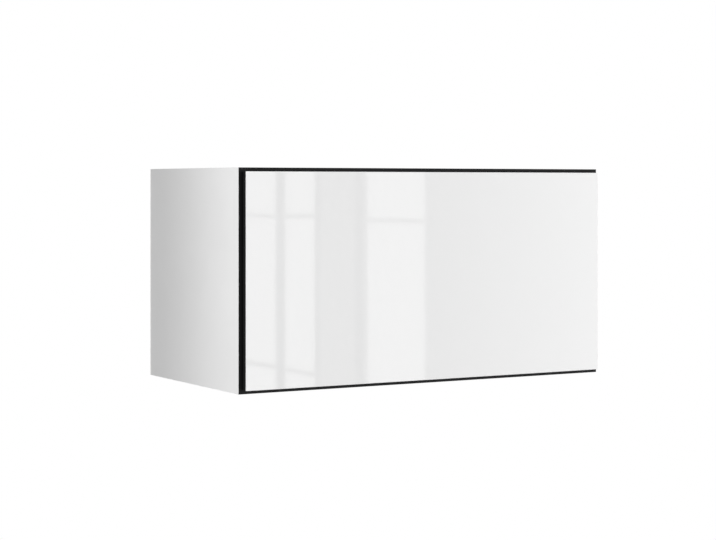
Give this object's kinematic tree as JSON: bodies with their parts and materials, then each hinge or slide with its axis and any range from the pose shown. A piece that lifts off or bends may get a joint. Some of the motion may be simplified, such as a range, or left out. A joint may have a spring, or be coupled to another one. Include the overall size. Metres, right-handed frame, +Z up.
{
  "type": "flap door wall cabinet",
  "caption": "White wall cabinet with black-edged boards and a gloss flap door that swings up on cup hinges and spring lift stays.",
  "frame": {"origin": "middle of the lower rear edge of the carcass, on the wall plane", "axes": "+X along the width, to the right seen from the front; +Y back towards the wall; +Z up; the front faces -Y"},
  "size_m": [0.8, 0.411, 0.408],
  "materials": {
    "carcass_board": "white melamine, satin",
    "back_board": "white lacquered fibreboard, satin",
    "flap_board": "white melamine, satin",
    "gloss_sheet": "high gloss white",
    "black_edging": "black, satin",
    "zinc": "die-cast zinc, bright",
    "beech": "bare beech",
    "hanger_plastic": "white, moulded",
    "light_plastic": "light grey, moulded",
    "bearing_plastic": "grey, moulded",
    "dark_plastic": "grey, moulded",
    "spring_steel": "oiled spring steel",
    "pin_steel": "zinc plated",
    "plated_steel": "nickel plated"
  },
  "bodies": {
    "carcass": {"side_panel_left": "carcass_board", "side_panel_right": "carcass_board", "top_panel": "carcass_board", "bottom_panel": "carcass_board", "back_panel": "back_board", "edging_left": "black_edging", "edging_right": "black_edging", "edging_top": "black_edging", "edging_bottom": "black_edging", "cam_bolts": "zinc", "cam_locks": "zinc", "dowels": "beech", "hanger_housing_left": "hanger_plastic", "hanger_housing_right": "hanger_plastic", "hanger_hook_left": "plated_steel", "hanger_hook_right": "plated_steel", "hanger_adjusters": "pin_steel", "hinge_plate_left": "plated_steel", "hinge_plate_right": "plated_steel", "hinge_arm_left": "plated_steel", "hinge_arm_right": "plated_steel", "hinge_arm_screws": "pin_steel", "hinge_arm_pins": "pin_steel", "stay_base_left": "plated_steel", "stay_base_right": "plated_steel", "stay_drum_left": "light_plastic", "stay_drum_right": "light_plastic", "stay_spring_left": "spring_steel", "stay_spring_right": "spring_steel", "stay_adjusters": "pin_steel", "latch_housing": "light_plastic", "latch_spring": "spring_steel", "carcass_screws": "pin_steel"},
    "hinge_outer_links": {"hinge_outer_link_left": "plated_steel", "hinge_outer_link_right": "plated_steel"},
    "hinge_inner_links": {"hinge_inner_link_left": "plated_steel", "hinge_inner_link_right": "plated_steel"},
    "flap": {"hinge_cup_left": "plated_steel", "hinge_cup_right": "plated_steel", "hinge_cup_pins": "pin_steel", "stay_bracket_left": "plated_steel", "stay_bracket_right": "plated_steel", "stay_bracket_pins": "pin_steel", "strike_plate": "plated_steel", "flap_screws": "pin_steel", "flap_core": "flap_board", "flap_face": "gloss_sheet", "flap_edging_left": "black_edging", "flap_edging_right": "black_edging", "flap_edging_top": "black_edging", "flap_edging_bottom": "black_edging"},
    "stay_lever_arm_left": {"stay_hub_left": "bearing_plastic", "stay_lever_left": "plated_steel", "stay_elbow_pin_left": "pin_steel"},
    "stay_lever_arm_right": {"stay_hub_right": "bearing_plastic", "stay_lever_right": "plated_steel", "stay_elbow_pin_right": "pin_steel"},
    "stay_link_arm_left": {"stay_link_left": "plated_steel"},
    "stay_link_arm_right": {"stay_link_right": "plated_steel"},
    "latch_tip": {"latch_plunger": "dark_plastic"}
  },
  "joints": [
    {"name": "outer_link_swing", "type": "hinge", "parent": "carcass", "child": "hinge_outer_links", "pos_m": [0, -0.385, 0.3735], "axis": [-1, 0, 0], "range_deg": [-27, 0]},
    {"name": "flap_swing", "type": "hinge", "parent": "hinge_outer_links", "child": "flap", "pos_m": [0, -0.4008, 0.3937], "axis": [-1, 0, 0], "range_deg": [0, 127]},
    {"name": "inner_link_swing", "type": "hinge", "parent": "carcass", "child": "hinge_inner_links", "pos_m": [0, -0.4054, 0.373], "axis": [-1, 0, 0], "range_deg": [-29, 0]},
    {"name": "stay_lever_swing_left", "type": "hinge", "parent": "carcass", "child": "stay_lever_arm_left", "pos_m": [0, -0.326, 0.33], "axis": [-1, 0, 0], "range_deg": [0, 99.81]},
    {"name": "stay_link_swing_left", "type": "hinge", "parent": "stay_lever_arm_left", "child": "stay_link_arm_left", "pos_m": [0, -0.3084, 0.2156], "axis": [-1, 0, 0], "range_deg": [-107.81, 0]},
    {"name": "stay_lever_swing_right", "type": "hinge", "parent": "carcass", "child": "stay_lever_arm_right", "pos_m": [0, -0.326, 0.33], "axis": [-1, 0, 0], "range_deg": [0, 99.81]},
    {"name": "stay_link_swing_right", "type": "hinge", "parent": "stay_lever_arm_right", "child": "stay_link_arm_right", "pos_m": [0, -0.3084, 0.2156], "axis": [-1, 0, 0], "range_deg": [-107.81, 0]},
    {"name": "latch_travel", "type": "slide", "parent": "carcass", "child": "latch_tip", "axis": [0, -1, 0], "range_m": [0, 0.011]}
  ],
  "couplings": [
    {"joint": "outer_link_swing", "follows": "flap_swing", "ratio": -0.2126},
    {"joint": "inner_link_swing", "follows": "flap_swing", "ratio": -0.22819},
    {"joint": "stay_lever_swing_left", "follows": "flap_swing", "ratio": 0.78583},
    {"joint": "stay_link_swing_left", "follows": "flap_swing", "ratio": -0.84882},
    {"joint": "stay_lever_swing_right", "follows": "flap_swing", "ratio": 0.78583},
    {"joint": "stay_link_swing_right", "follows": "flap_swing", "ratio": -0.84882},
    {"joint": "latch_travel", "follows": "flap_swing", "m_per_rad": 0.0049626}
  ]
}
